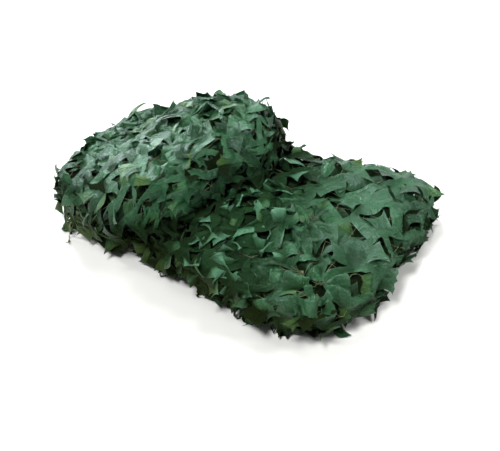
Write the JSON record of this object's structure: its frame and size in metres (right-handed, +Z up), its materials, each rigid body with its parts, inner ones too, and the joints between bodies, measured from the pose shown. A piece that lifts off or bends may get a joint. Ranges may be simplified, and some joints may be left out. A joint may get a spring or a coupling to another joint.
{
  "type": "folded camouflage netting",
  "caption": "Green leaf-cut camouflage netting folded back and forth into a low slab, with one half turned over on top as a lobe and one loose string end",
  "frame": {"origin": "on the surface that the bundle rests on, under the middle of its box, the loose string left out", "axes": "+X along the bundle from its high left lobe to the slab's folded end, +Y towards its back edge, +Z up"},
  "size_m": [0.7383, 0.5214, 0.2164],
  "materials": {
    "green_oxford_cloth": "dark green coated oxford cloth, die-cut into leaves",
    "khaki_string": "twisted khaki string"
  },
  "bodies": {
    "root": {"netting": "green_oxford_cloth", "tie_knot_middle": "khaki_string", "tie_knot_corner": "khaki_string", "loose_string": "khaki_string", "string_knot": "khaki_string"}
  },
  "joints": []
}
